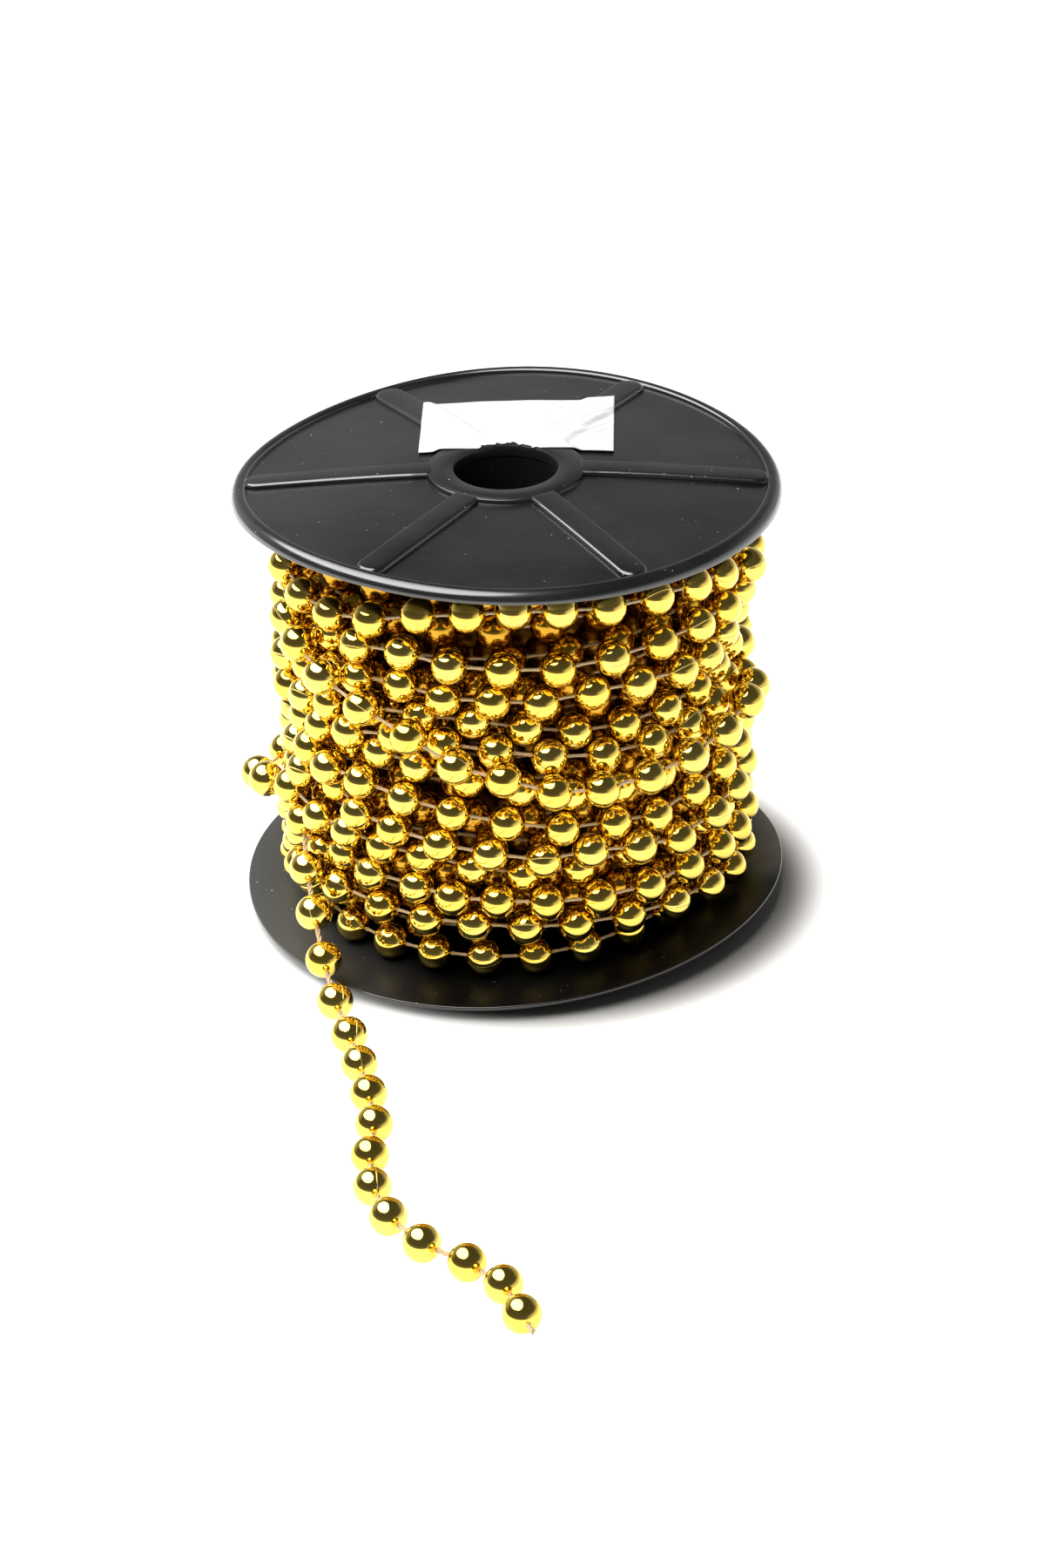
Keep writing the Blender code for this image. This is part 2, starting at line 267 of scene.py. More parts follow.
TABLE_HALF = 3000.0
PAINTED_SHADE_CENTRE = (0.0025, -0.0015)
PAINTED_SHADE_FADE = (0.043, 0.053)
corners = [(x * TABLE_HALF, y * TABLE_HALF, 0.0) for x, y in ((-1, -1), (1, -1), (1, 1), (-1, 1))]
table = mesh_object("table", corners, [(0, 1, 2, 3)], False)
sheet = Finish("glowing table with painted shade", Base_Color=(0.44, 0.43, 0.41, 1.0), Roughness=0.6, Specular_IOR_Level=0.2)
# Painted shade: the glow fades out in a ring round the spool, centred a little right of and in front of its
# axis, and the grey base keeps that ring dim.
to_side = sheet.along("X") - PAINTED_SHADE_CENTRE[0]
to_rear = sheet.along("Y") - PAINTED_SHADE_CENTRE[1]
glow_beyond_painted_shade = sheet.smooth_step((to_side * to_side + to_rear * to_rear) ** 0.5, *PAINTED_SHADE_FADE)
sheet.feed("Emission Color", sheet.blend(glow_beyond_painted_shade, (0.0, 0.0, 0.0, 1.0), (1.0, 1.0, 1.0, 1.0)))
sheet.feed("Emission Strength", 0.97)
table.data.materials.append(sheet.material)
print("table, in m:", round(2 * TABLE_HALF * MM, 1), "square")

# %% [markdown]
# ## The light and the room
# One big soft light hangs almost overhead, a little to the left. It puts a pale oval on every free bead and
# a soft shadow on the right. The room is dark, and a mirror bead shows that dark in its upper half. Low
# pale screens at the back and at the right brighten the beads' edges there.

# %% Hang the softbox
LIGHT_FROM = Vector((-0.402, 0.033, 0.915)).normalized()
LIGHT_DISTANCE = 1.6
LIGHT_SIZE = (2.5, 1.6)
LIGHT_TURN = math.radians(24.0)
LIGHT_RADIANCE = 4.3
softbox = bpy.data.lights.new("softbox", "AREA")
softbox.shape = "ELLIPSE"
softbox.size, softbox.size_y = LIGHT_SIZE
softbox.energy = LIGHT_RADIANCE * math.pi * LIGHT_SIZE[0] * LIGHT_SIZE[1]
lamp = bpy.data.objects.new("softbox", softbox)
lamp.location = LIGHT_FROM * LIGHT_DISTANCE
turned = LIGHT_FROM.to_track_quat("Z", "Y").to_matrix() @ Matrix.Rotation(LIGHT_TURN, 3, "Z")
lamp.rotation_euler = turned.to_euler()
lamp.visible_camera = False
bpy.context.scene.collection.objects.link(lamp)
print("softbox, in watts:", round(softbox.energy, 1))

# %% The dark room and its screens
BACK_SCREEN = 0.36
SIDE_SCREEN = 0.85
WALLS = ((0.0, 0.9, 0.9), (0.02, 0.17, 0.173), (0.26, 0.10, 0.102), (1.0, 0.07, 0.072))
WHITE = (1.0, 1.0, 1.0, 1.0)
room = bpy.data.worlds.new("room")
room.use_nodes = True
bpy.context.scene.world = room
air = Graph(room.node_tree)
direction = air.node("ShaderNodeTexCoord", output="Generated")
height = air.along("Z", direction)
walls = air.node("ShaderNodeValToRGB", None, {0: height})
ramp = walls.socket.node.color_ramp.elements
for index, (position, grey, blue) in enumerate(WALLS):
    stop = ramp[index] if index < 2 else ramp.new(1.0)
    stop.position = position
    stop.color = (grey, grey, blue, 1.0)
at_back = air.smooth_step(air.along("Y", direction), 0.05, 0.6) * (1.0 - air.smooth_step(height, 0.30, 0.66))
at_side = air.smooth_step(air.along("X", direction), 0.35, 0.9) * (1.0 - air.smooth_step(height, 0.10, 0.42))
screens = (at_back * BACK_SCREEN).math("MAXIMUM", at_side * SIDE_SCREEN)
seen = air.node("ShaderNodeLightPath", output="Is Camera Ray")
lit = air.blend(seen, air.blend(screens, walls, WHITE), WHITE)
air.plug(room.node_tree.nodes["Background"], "Color", lit)
print("room nodes:", len(room.node_tree.nodes))

# %% The picture's own brightness and contrast
display = bpy.context.scene.view_settings
display.view_transform = "Standard"
display.gamma = 0.93
display.exposure = 0.10
print("display:", display.view_transform)

# %% [markdown]
# ## Black plastic
# The spool is cheap moulded polystyrene: nearly black, with a fine grain, a few faint scratches and white
# dust that sticks to it. Dust is a cell texture: each cell has a centre, and a speck shows where the
# distance to it is small. A second random number per cell leaves most cells clean.

# %% Dust
def dust(finish, cells, size, share):
    """1 on specks of dust; share is the part of the cells that have one."""
    spots = finish.places(cells, (1.0, 1.0, 0.02))
    far = finish.node("ShaderNodeTexVoronoi", None, {"Vector": spots, "Scale": 1.0}, "Distance")
    tint = finish.node("ShaderNodeTexVoronoi", None, {"Vector": spots, "Scale": 1.0}, "Color")
    chance = finish.node("ShaderNodeSeparateColor", None, {0: tint}, "Red")
    return (1.0 - finish.smooth_step(far, size * 0.6, size)) * (chance < share)


# %% [markdown]
# Edges, ribs and the rolled rim are polished by every hand that takes the spool, so the shader finds what
# doesn't face up and gives it a clear coat. The lower plate is the duller one: matt, and its black is
# painted darker as shade, as it lies under the top plate and the winding. On its left a grey painted sheen
# stands for the lamp on that side, and at its far right, where it bends up, a pale painted reflection
# streaked like scuffs. Both plates share one recipe.

# %% Make the plastic
HUB = (0.0145, 0.0160)
# Where the painted sheen on the lower plate's left fades out, in metres.
PAINTED_SHEEN_SIDE = (-0.041, -0.013)
# Where the painted reflection at the lower plate's far right begins, across and from front to back, in
# metres.
PAINTED_REFLECTION_SIDE = (0.035, 0.043)
PAINTED_REFLECTION_REAR = (-0.013, 0.001)


# A scale below 1 paints shade on the black: the lower plate is darker because it lies in shade.
def shades_of_black(finish, clouds, shade_scale):
    darkest = tuple(part * shade_scale for part in (0.0070, 0.0072, 0.0078)) + (1.0,)
    palest = tuple(part * shade_scale for part in (0.0185, 0.0190, 0.0196)) + (1.0,)
    return finish.blend(finish.smooth_step(clouds, 0.3, 0.7), darkest, palest)


def polished_edges(finish):
    """1 on what is rounded or upright, outside the hub ring."""
    facing = finish.node("ShaderNodeNewGeometry", output="Normal")
    up = finish.along("Z", facing)
    radius = (finish.along("X") * finish.along("X") + finish.along("Y") * finish.along("Y")) ** 0.5
    return (1.0 - finish.smooth_step(up * up, 0.62, 0.985)) * finish.smooth_step(radius, *HUB)


def spool_plastic(name, shade_scale, painted_light_and_dust_share, dullness, shine):
    """Black plastic; a scale below 1 paints shade on its black, and a share turns on the lower plate's
    painted sheen and reflection and more dust.
    """
    finish = Finish(name, IOR=1.52, Specular_IOR_Level=shine, Coat_Roughness=0.16, Coat_IOR=1.7)
    grain = finish.noise(2600.0, 3.0)
    clouds = finish.noise(45.0, 3.0)
    patches = finish.smooth_step(finish.noise(60.0, 2.0), 0.42, 0.62)
    scratches = finish.smooth_step(finish.noise(1.0, 2.0, (260.0, 2400.0, 300.0)), 0.66, 0.78)
    crossing = finish.smooth_step(finish.noise(1.0, 2.0, (2100.0, 190.0, 300.0)), 0.69, 0.80)
    marks = scratches * 0.6 + crossing * 0.5
    specks = dust(finish, 430.0, 0.072, painted_light_and_dust_share * 0.12 + 0.20) * (patches * 0.8 + 0.2)
    specks = specks + dust(finish, 900.0, 0.10, 0.08) * 0.7
    side = finish.along("X")
    # Painted sheen: a grey glow on the left of the lower plate, standing for the lamp on that side.
    painted_sheen = (1.0 - finish.smooth_step(side + (clouds - 0.5) * 0.012, *PAINTED_SHEEN_SIDE)) * painted_light_and_dust_share
    # Painted reflection: a pale grey patch at the far right of the lower plate, where it bends up towards
    # the light, streaked with scratches.
    painted_reflection = finish.smooth_step(side + (clouds - 0.5) * 0.006, *PAINTED_REFLECTION_SIDE)
    painted_reflection = painted_reflection * finish.smooth_step(finish.along("Y"), *PAINTED_REFLECTION_REAR)
    painted_reflection = painted_reflection * (patches * 0.35 + marks * 0.4 + 0.45) * painted_light_and_dust_share
    shade = shades_of_black(finish, clouds, shade_scale)
    shade = finish.blend(painted_sheen, shade, (0.075, 0.077, 0.077, 1.0))
    shade = finish.blend(painted_reflection, shade, (0.42, 0.42, 0.41, 1.0))
    shade = finish.blend(marks * 0.25, shade, (0.09, 0.09, 0.092, 1.0))
    finish.feed("Base Color", finish.blend(specks, shade, (0.62, 0.61, 0.58, 1.0)))
    rough = clouds * 0.12 + grain * 0.05 + marks * 0.10 + specks * 0.3
    finish.feed("Roughness", rough + dullness)
    finish.feed("Coat Weight", polished_edges(finish))
    finish.feed("Normal", finish.bump(grain, 0.00002, 0.5, finish.bump(clouds, 0.0008, 0.35)))
    return finish


plastic = spool_plastic("black plastic", 1.0, 0.0, 0.16, 0.55)
# The lower plate's black is scaled to 0.3 as painted shade, and its share turns on a painted sheen and a
# painted reflection.
shaded_matt_plastic = spool_plastic("black plastic of the lower plate", 0.3, 1.0, 0.28, 0.16)
print("plastic nodes:", len(plastic.tree.nodes))

# %% [markdown]
# ## Mirror gold
# The beads are plastic with a vacuum coat of metal under yellow lacquer. To a renderer that is a metal:
# its colour tints every reflection, and light that bounces from bead to bead turns from pale yellow to
# deep amber. A faint line where the two halves of the mould met runs along the thread. Each bead carries
# its own coordinates as an attribute, so the line sits on every bead however it is turned.

# %% Make the gold of the outer beads
gold = Finish("mirror gold", Metallic=1.0, Coat_Weight=0.25, Coat_Roughness=0.03)
own = gold.node("ShaderNodeAttribute", {"attribute_name": "own_place"}, output="Vector")
tone = gold.node("ShaderNodeAttribute", {"attribute_name": "tone"}, output="Fac")
seam = 1.0 - gold.smooth_step(abs(gold.along("Z", own)), 0.012, 0.034)
seam = seam * (tone > 0.45)
rubbed = gold.smooth_step(gold.noise(900.0, 4.0), 0.52, 0.72)
hair = gold.smooth_step(gold.noise(1.0, 2.0, (700.0, 5200.0, 900.0)), 0.66, 0.74)
coat = gold.blend(tone, (0.89, 0.63, 0.11, 1.0), (0.95, 0.73, 0.17, 1.0))
coat = gold.blend(rubbed * 0.22, coat, (0.80, 0.50, 0.07, 1.0))
gold.feed("Base Color", gold.blend(seam * 0.5, coat, (0.98, 0.80, 0.36, 1.0)))
gold.feed("Roughness", rubbed * 0.05 + hair * 0.06 + seam * 0.12 + 0.085)
gold.feed("Normal", gold.bump(seam, 0.00006, 0.8))
print("gold nodes:", len(gold.tree.nodes))

# %% [markdown]
# Between the outer beads the winding goes brown quickly. The layers underneath get a darker, deeper gold
# each: painted shade, and a painted tint for light that has bounced more often than a renderer's few bounces
# allow.

# %% Make the gold of the layers underneath
def shaded_inner_gold(name, scale, darkest, palest, spread, polish):
    finish = Finish(name, Metallic=1.0)
    mist = finish.noise(scale, 3.0)
    finish.feed("Base Color", finish.blend(mist, darkest + (1.0,), palest + (1.0,)))
    finish.feed("Roughness", mist * spread + polish)
    return finish


# Painted shade: both golds are darker the deeper their layer lies.
deep_gold = shaded_inner_gold("shaded gold", 520.0, (0.46, 0.23, 0.02), (0.70, 0.43, 0.055), 0.12, 0.10)
heart_gold = shaded_inner_gold("gold in the dark", 420.0, (0.20, 0.085, 0.008), (0.52, 0.28, 0.03), 0.2, 0.25)
print("inner golds:", deep_gold.material.name, "and", heart_gold.material.name)

# %% [markdown]
# ## Thread and paper
# The thread is a pale twisted yarn, so a stretched noise gives it fibres. The paper is plain white with a
# soft pulp grain and shallow waves. Neither shines.

# %% Make the thread and the paper
thread = Finish("thread")
fibres = thread.noise(1.0, 3.0, (3800.0, 3800.0, 1900.0))
thread.feed("Base Color", thread.blend(fibres, (0.50, 0.34, 0.17, 1.0), (0.92, 0.72, 0.45, 1.0)))
thread.feed("Roughness", fibres * 0.3 + 0.45)
thread.feed("Normal", thread.bump(fibres, 0.0001, 0.6))

paper = Finish("label paper")
pulp = paper.noise(1500.0, 4.0)
waves = paper.noise(1.0, 3.0, (160.0, 420.0, 160.0))
paper.feed("Base Color", paper.blend(pulp, (0.60, 0.60, 0.61, 1.0), (0.72, 0.72, 0.72, 1.0)))
paper.feed("Roughness", pulp * 0.15 + 0.5)
paper.feed("Normal", paper.bump(pulp, 0.00003, 0.5, paper.bump(waves, 0.0005, 0.6)))
print("thread and paper ready")

# %% [markdown]
# ## The spool's plates
# Each flange is a round plate: a hub ring, a flat field and a rolled rim, with six ribs on its outer side.
# Every section through the axis is the same, so the plate is a turned profile. The lower one's rim is
# thinner, as its bent edge shows.

# %% Turn a profile
def wall_faces(rings, count, first=0, closed=False):
    """Faces between rings of points that follow each other."""
    faces = []
    for i in range(rings if closed else rings - 1):
        step = ((i + 1) % rings - i) * count
        for k in range(count):
            a, b = first + i * count + k, first + i * count + (k + 1) % count
            faces.append((a, b, b + step, a + step))
    return faces


def turned_rings(profile, steps):
    """Points and faces of a closed (radius, height) outline turned round the axis."""
    turns = np.arange(steps) * 2.0 * math.pi / steps
    outline = np.asarray(profile, float)
    x = outline[:, 0][None, :] * np.cos(turns)[:, None]
    y = outline[:, 0][None, :] * np.sin(turns)[:, None]
    z = np.broadcast_to(outline[:, 1][None, :], x.shape)
    return np.stack([x, y, z], axis=-1).reshape(-1, 3), wall_faces(steps, len(outline), closed=True)


def arc(centre_r, centre_z, radius, start, end, parts):
    angles = [math.radians(start + (end - start) * i / parts) for i in range(parts + 1)]
    return [(centre_r + radius * math.cos(a), centre_z + radius * math.sin(a)) for a in angles]


# %% A plate's section
THIN_EDGE = 0.45


def rim_outside(thin_edge):
    """From the plate's underside round the edge to the top of the rim."""
    top = FLANGE_THICKNESS
    points = arc(FLANGE_RADIUS - 0.25, 0.25, 0.25, -60.0, 0.0, 3)
    if not thin_edge:
        return points + arc(FLANGE_RADIUS - RIM_ROUNDING, top - RIM_ROUNDING, RIM_ROUNDING, 0.0, 90.0, 8)
    points += arc(FLANGE_RADIUS - THIN_EDGE, 0.4, THIN_EDGE, 0.0, 90.0, 5)
    return points + [(FLANGE_RADIUS - r, z) for r, z in ((1.5, 0.95), (2.0, 1.25), (2.2, top - 0.1))]


def plate_profile(thin_edge):
    """A flange's section with its ribbed side up, lowest side at 0."""
    top, field = FLANGE_THICKNESS, PLATE
    inner = FLANGE_RADIUS - RIM_BAND
    outline = [(BORE_RADIUS, 0.0)]
    outline += [(r, 0.0) for r in np.linspace(RING_RADIUS, FLANGE_RADIUS - 0.35, 16)]
    outline += rim_outside(thin_edge)
    outline += [(inner + 0.55, top - 0.03), (inner + 0.22, top - 0.14)]
    outline += [(inner + 0.02, top - 0.36), (inner - 0.10, field + 0.02)]
    outline += [(r, field) for r in np.linspace(inner - 0.9, RING_RADIUS + 0.9, 20)]
    outline += [(RING_RADIUS + 0.14, field + 0.02), (RING_RADIUS + 0.04, field + 0.12)]
    outline += [(RING_RADIUS - 0.06, top - 0.12), (RING_RADIUS - 0.22, top)]
    outline += [(BORE_RADIUS + 0.5, top), (BORE_RADIUS + 0.15, top - 0.12), (BORE_RADIUS, top - 0.4)]
    return outline


print("points in a plate's section:", len(plate_profile(False)), len(plate_profile(True)))

# %% [markdown]
# ## The ribs
# A rib is a bar with a round outer end and softened upper edges: its outline is extruded and only the upper
# edges are bevelled. The six bars are turned copies of one, and sink a little into the plate, so no gap
# opens when both are bent by the same warp.

# %% Six ribs
RIB_SOFTENING = 0.74


def rib_outline():
    """A bar that points along X, with a round outer end."""
    inner, outer, half = RING_RADIUS - 1.2, FLANGE_RADIUS - RIM_BAND + 0.5, RIB_WIDTH / 2.0
    along = np.linspace(inner, outer - half, 24)
    bend_angles = np.radians(np.arange(-75, 76, 15))
    ring = [(x, -half) for x in along]
    ring += [(outer - half + half * math.cos(a), half * math.sin(a)) for a in bend_angles]
    return ring + [(x, half) for x in reversed(along)]


def rib_bars():
    """All ribs as one mesh, in millimetres and flat."""
    shape = bmesh.new()
    low, high = PLATE - 0.3, FLANGE_THICKNESS + 0.06
    for i in range(RIB_COUNT):
        turn = Matrix.Rotation(math.radians(RIB_TURN + 360.0 / RIB_COUNT * i), 4, "Z")
        floor = [shape.verts.new(turn @ Vector((x, y, low))) for x, y in rib_outline()]
        raised = bmesh.ops.extrude_face_region(shape, geom=[shape.faces.new(floor)])["geom"]
        roof = [part for part in raised if isinstance(part, bmesh.types.BMVert)]
        bmesh.ops.translate(shape, verts=roof, vec=(0.0, 0.0, high - low))
        shape.normal_update()
        edges = [e for e in shape.edges if all(v.co.z > high - 0.01 for v in e.verts)
                 and any(abs(f.normal.z) < 0.5 for f in e.link_faces)]
        bmesh.ops.bevel(shape, geom=edges, offset=RIB_SOFTENING, segments=6, profile=0.5, affect="EDGES")
    bmesh.ops.recalc_face_normals(shape, faces=shape.faces)
    bmesh.ops.triangulate(shape, faces=[f for f in shape.faces if len(f.verts) > 4])
    mesh = bpy.data.meshes.new("ribs")
    shape.to_mesh(mesh)
    shape.free()
    return mesh


# %% [markdown]
# ## Bending the plates
# A mapping takes a flat plate to its place on the spool, with its warp. The lower plate is the upper one
# turned over, and its front right edge is drawn out a little, as the picture shows.

# %% Where each plate goes
DRAWN_OUT = 0.058
DRAWN_TO = -113.0


def on_top(x, y, z):
    return x, y, SPOOL_HEIGHT - FLANGE_THICKNESS + z + top_warp(x, y)


def on_bottom(x, y, z):
    turn = np.arctan2(-y, x)
    drawn = 1.0 + DRAWN_OUT * dish(np.hypot(x, y)) * one_sided(turn, DRAWN_TO) ** 6
    x, y = x * drawn, -y * drawn
    return x, y, FLANGE_THICKNESS - z + bottom_warp(x, y)


def bend(mesh, mapping):
    """Move each point of a mesh in millimetres to the place that mapping gives."""
    points = np.array([v.co for v in mesh.vertices], float)
    moved = np.stack(mapping(points[:, 0], points[:, 1], points[:, 2]), axis=1)
    mesh.vertices.foreach_set("co", (moved * MM).ravel())
    mesh.update()


# %% Put both flanges on
SHARP_FROM = math.radians(40.0)


def reshape(mesh, change):
    """Let change work on a mesh's points and faces."""
    shape = bmesh.new()
    shape.from_mesh(mesh)
    change(shape)
    shape.to_mesh(mesh)
    shape.free()


def tidy_normals(item):
    """Faces outwards, smooth except over sharp corners."""
    reshape(item.data, lambda shape: bmesh.ops.recalc_face_normals(shape, faces=shape.faces))
    for face in item.data.polygons:
        face.use_smooth = True
    item.data.set_sharp_from_angle(angle=SHARP_FROM)


def flange(name, mapping, node, thin_edge, finish):
    points, faces = turned_rings(plate_profile(thin_edge), 192)
    plate = mesh_object(name, np.stack(mapping(*points.T), axis=1), faces)
    ribs = rib_bars()
    bend(ribs, mapping)
    bars = bpy.data.objects.new(name + "_ribs", ribs)
    bpy.context.scene.collection.objects.link(bars)
    for item in (plate, bars):
        tidy_normals(item)
        item.data.materials.append(finish.material)
        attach(item, "root")
    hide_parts(node)
    return plate, bars


top_plate, top_ribs = flange("top_flange", on_top, "flange_top", False, plastic)
bottom_plate, bottom_ribs = flange("bottom_flange", on_bottom, "flange_bottom", True, shaded_matt_plastic)
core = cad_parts["spool_core"]
core.data.materials.clear()
core.data.materials.append(plastic.material)
print("faces of one plate and its ribs:", len(top_plate.data.polygons), len(top_ribs.data.polygons))

# %% [markdown]
# ## The label
# A plain paper label is stuck over two ribs, so it rides up on them and dips between them, and its lower
# edge is torn along the hole. A fine grid follows the plate's own formula, and faces inside a ragged
# circle are left out. Thin paper needs a real edge, so the sheet gets a thickness at the end.

# %% The paper's place and its torn edge
LABEL_SIZE = (32.0, 21.3)
LABEL_AT = (2.1, 17.7)
LABEL_TURN = math.radians(-2.0)
LABEL_THICKNESS = 0.12
PAPER_SLOPE = 1.5


def rib_nearness(x, y):
    """0 on a rib or on the hub ring, 1 well away from both."""
    radius = np.hypot(x, y)
    step = 360.0 / RIB_COUNT
    turn = (np.degrees(np.arctan2(y, x)) - RIB_TURN + step / 2.0) % step - step / 2.0
    off_rib = (np.abs(radius * np.sin(np.radians(turn))) - RIB_WIDTH / 2.0) / PAPER_SLOPE
    off_ring = (radius - RING_RADIUS) / PAPER_SLOPE
    down = np.clip(off_rib, 0.0, 1.0) * np.clip(off_ring, 0.0, 1.0)
    return down * down * (3.0 - 2.0 * down)


def torn_radius(turn):
    """How far from the axis the torn edge lies."""
    ragged = 0.22 * np.sin(23.0 * turn) + 0.16 * np.sin(41.0 * turn + 1.0) + 0.10 * np.sin(67.0 * turn)
    nicks = 0.5 * np.exp(-((turn - 1.45) / 0.16) ** 2) + 0.4 * np.exp(-((turn - 1.9) / 0.1) ** 2)
    return BORE_RADIUS + 0.35 + ragged + nicks


# %% Lay the paper
def paper_lift(x, y, u, v):
    """How far the paper stands off the plastic: waves, wrinkles at both ends and a raised corner."""
    rim = np.minimum(LABEL_SIZE[0] / 2.0 - np.abs(u), LABEL_SIZE[1] / 2.0 - np.abs(v))
    inland = np.clip(rim / 2.0, 0.0, 1.0) * np.clip((v + 6.0) / 3.0, 0.0, 1.0)
    lift = 0.08 + 0.05 * np.sin(0.45 * x + 0.5 * y) * np.sin(0.4 * y - 0.3 * x)
    right_folds = np.sin(2.6 * (x - y) + 0.8 * np.sin(0.7 * y)) + 1.0
    left_folds = np.sin(2.2 * (x + 1.2 * y)) + 1.0
    lift = lift + 0.09 * inland * right_folds * np.clip((x - 4.0) / 3.0, 0.0, 1.0)
    lift = lift + 0.06 * inland * left_folds * np.clip((-6.0 - x) / 3.0, 0.0, 1.0)
    corner = np.clip((u - 11.0) / 5.0, 0.0, 1.0) * np.clip((v - 6.0) / 4.6, 0.0, 1.0)
    return lift + 0.5 * corner


def label_sheet(cells=(128, 86)):
    """Points and faces of the paper's upper side."""
    steps = [np.linspace(-0.5, 0.5, count + 1) for count in cells]
    u, v = np.meshgrid(*steps, indexing="ij")
    u, v = u * LABEL_SIZE[0], v * LABEL_SIZE[1]
    x = LABEL_AT[0] + u * math.cos(LABEL_TURN) - v * math.sin(LABEL_TURN)
    y = LABEL_AT[1] + u * math.sin(LABEL_TURN) + v * math.cos(LABEL_TURN)
    radius, edge_at = np.hypot(x, y), torn_radius(np.arctan2(y, x))
    inside = radius < edge_at
    grow = np.where(inside, edge_at / np.maximum(radius, 0.1), 1.0)
    x, y = x * grow, y * grow
    z = SPOOL_HEIGHT + 0.10 - 0.62 * RAISED * rib_nearness(x, y) + top_warp(x, y) + paper_lift(x, y, u, v)
    points = np.stack([x, y, z], axis=-1).reshape(-1, 3)
    rows = cells[1] + 1
    faces = []
    for i in range(cells[0]):
        for k in range(cells[1]):
            cell = ((i, k), (i + 1, k), (i + 1, k + 1), (i, k + 1))
            if not all(inside[c] for c in cell):
                faces.append(tuple(a * rows + b for a, b in cell))
    return points, faces


def drop_loose_points(shape):
    bmesh.ops.delete(shape, geom=[v for v in shape.verts if not v.link_faces], context="VERTS")


label = mesh_object("paper_label", *label_sheet())
reshape(label.data, drop_loose_points)
edge = label.modifiers.new("paper edge", "SOLIDIFY")
edge.thickness = LABEL_THICKNESS * MM
edge.offset = -1.0
label.data.materials.append(paper.material)
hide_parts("label")
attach(label, "root")
print("label faces:", len(label.data.polygons))

# %% [markdown]
# ## Where the string lies
# The string goes round in rows that are neither even nor level. Beads that show were found in the picture,
# and their places there were turned into an angle round the axis and a height beforehand; 270
# degrees faces the viewer. Their distance from the axis, and beads that don't show, are guesses.

# %% The rows
def row(radius, *beads):
    """Beads of one row; a bead without a distance of its own takes the row's."""
    return [(b[0], b[1], b[2] if len(b) > 2 else radius) for b in beads]


ROWS_DOWN = (
    row(36.5, (345, 69.6), (359, 69.8), (13, 69.9), (27, 69.8), (41, 69.6), (55, 69.4), (69, 69.2),
        (83, 69.0), (97, 68.8), (111, 68.4), (125, 68.0), (139, 67.4), (152, 67.0, 36.4), (165, 66.6, 36.6),
        (179, 65.4, 36.9), (194, 63.0, 37.0), (206.9, 62.5, 37.1), (220, 62.8, 37.3), (234, 64.1, 37.3),
        (248, 67.3, 37.3), (261, 68.3, 37.3), (271, 68.7, 37.3), (281, 68.4, 37.3), (294, 67.6, 37.3),
        (308, 66.9, 37.3), (323, 65.6, 37.3), (336, 63.8, 37.3)),
    row(37.5, (190, 54.0, 33.2), (203, 55.6, 33.2), (216, 57.6, 34.2), (230, 59.3), (243, 60.1),
        (255, 59.0), (268, 58.6), (281, 58.2), (295, 58.5), (309, 58.6), (324, 58.2), (338, 57.4)),
    row(37.0, (180, 44.8, 36.4), (192.7, 46.8, 37.0), (206, 49.3, 36.2), (217.5, 51.6, 35.6), (229, 53.3),
        (242, 54.4), (253, 52.9), (265, 52.7), (277, 52.4), (290, 53.1), (303, 52.6), (317, 51.8),
        (329, 51.2, 36.6), (342, 50.5, 35.6)),
    row(34.2, (178.5, 40.4, 36.2), (191.1, 42.2, 36.8), (204.5, 43.8, 36.4), (217.5, 45.6, 36.0),
        (231.5, 47.8, 34.5), (245.5, 48.5), (260, 48.2), (273, 46.7), (286, 45.4), (300, 45.2), (313, 44.9),
        (326, 45.1), (339, 45.0)),
    row(36.7, (189, 37.2, 35.2), (201.7, 39.0, 35.8), (213, 40.8, 36.2), (224.5, 42.4, 36.6),
        (239.3, 44.4, 36.0), (254, 45.0), (267, 43.9), (279, 42.5), (293, 41.4), (307, 41.4), (321, 41.2),
        (334, 41.6)),
    row(35.5, (193, 36.0, 31.6), (206, 37.0, 32.0), (219.5, 38.6, 33.4), (232.3, 40.5, 35.2), (244.2, 39.4),
        (257.5, 37.6), (271, 36.0), (284.5, 35.0), (298, 34.4), (311, 34.3), (324, 34.8), (337, 35.5)),
    row(37.5, (180, 31.5, 35.0), (193.3, 33.4, 35.8), (207, 36.3, 36.2), (219.3, 35.6, 37.0), (229.5, 34.7),
        (242, 33.7), (255, 33.0), (268, 31.4), (281, 29.2), (295, 28.2), (308, 27.2), (322, 27.8),
        (335, 28.8)),
    row(38.0, (190.5, 27.4, 35.6), (203.5, 29.8, 37.3), (216.5, 30.7, 34.8), (229, 30.2), (239, 28.4),
        (251, 27.0), (264, 26.3), (277, 25.1), (289, 25.5), (300, 24.2), (312, 23.4), (325, 24.2),
        (338, 24.6)),
)
